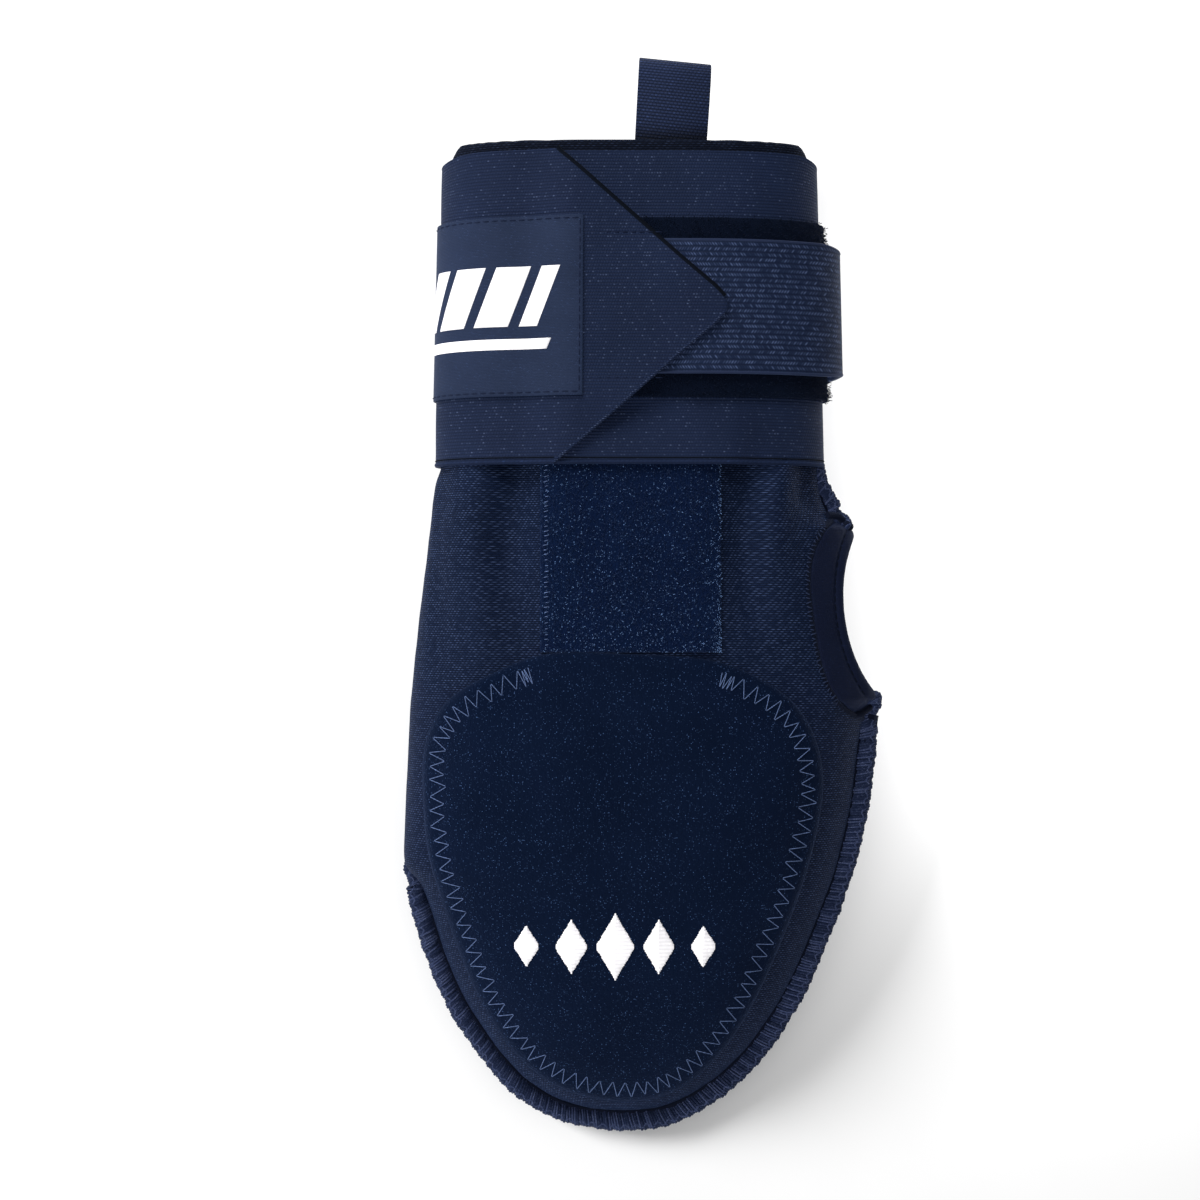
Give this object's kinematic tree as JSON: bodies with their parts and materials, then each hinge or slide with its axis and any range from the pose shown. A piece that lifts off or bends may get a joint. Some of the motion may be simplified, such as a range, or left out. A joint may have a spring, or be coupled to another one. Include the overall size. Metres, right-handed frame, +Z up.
{
  "type": "sliding mitt",
  "caption": "Hollow neoprene hand guard with a padded front, a thumb hole, a wound elastic wrist strap with a pointed tab and closure strap, and a pull loop.",
  "frame": {"origin": "middle of the mitt's footprint on the surface that it lies on, palm down", "axes": "+Y from the toe to the cuff and pull loop, +X to the thumb hole's side, +Z up out of the padded front"},
  "size_m": [0.1404, 0.3122, 0.0479],
  "materials": {
    "neoprene": "matt knitted nylon face over neoprene",
    "seam_thread": "wound overlock thread, low sheen",
    "binding": "smooth stretch knit, low sheen",
    "brushed_pad": "brushed loop fabric, matt",
    "loop_pile": "napped loop tape, matt with bright fibres",
    "elastic": "ribbed woven elastic, low sheen",
    "hook_tape": "herringbone woven tape, low sheen",
    "label": "fine woven satin patch",
    "webbing": "ribbed grosgrain webbing",
    "white_thread": "satin stitched thread, soft sheen"
  },
  "bodies": {
    "root": {"neoprene_shell": "neoprene", "toe_seam": "seam_thread", "wrist_seam": "seam_thread", "thumb_binding": "binding", "knuckle_pad": "brushed_pad", "loop_strip": "loop_pile", "wrist_strap": "elastic", "strap_loop_tape": "loop_pile", "closure_strap": "hook_tape", "label_patch": "label", "pull_loop": "webbing", "motif_lozenge_1": "white_thread", "motif_lozenge_2": "white_thread", "motif_lozenge_3": "white_thread", "motif_lozenge_4": "white_thread", "motif_lozenge_5": "white_thread"}
  },
  "joints": []
}
